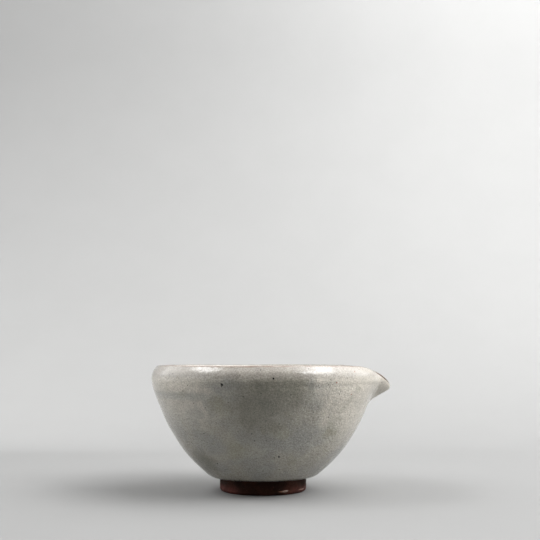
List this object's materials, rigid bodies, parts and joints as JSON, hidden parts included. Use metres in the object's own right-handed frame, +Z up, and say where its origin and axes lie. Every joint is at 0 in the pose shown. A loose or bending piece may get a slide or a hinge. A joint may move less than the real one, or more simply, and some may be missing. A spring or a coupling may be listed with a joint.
{
  "type": "katakuchi pouring bowl",
  "caption": "Wheel-thrown stoneware katakuchi: a deep round bowl with a pouring lip, an unglazed clay foot ring and a pale grey-white glaze, for serving sake.",
  "frame": {"origin": "middle of the plane that the foot ring stands on, on the bowl's axis", "axes": "+Z up along the bowl's axis, +X towards the tip of the spout"},
  "size_m": [0.1389, 0.13, 0.0719],
  "materials": {
    "clay": "unglazed iron-rich stoneware, dark red-brown and matt",
    "glaze": "cloudy grey-white satin-gloss glaze with iron specks and a fine pebbled skin"
  },
  "bodies": {
    "root": {"bowl_body": "clay", "foot_ring": "clay", "spout": "clay", "outer_glaze": "glaze", "inner_glaze": "glaze", "foot_glaze_spots": "glaze"}
  },
  "joints": []
}
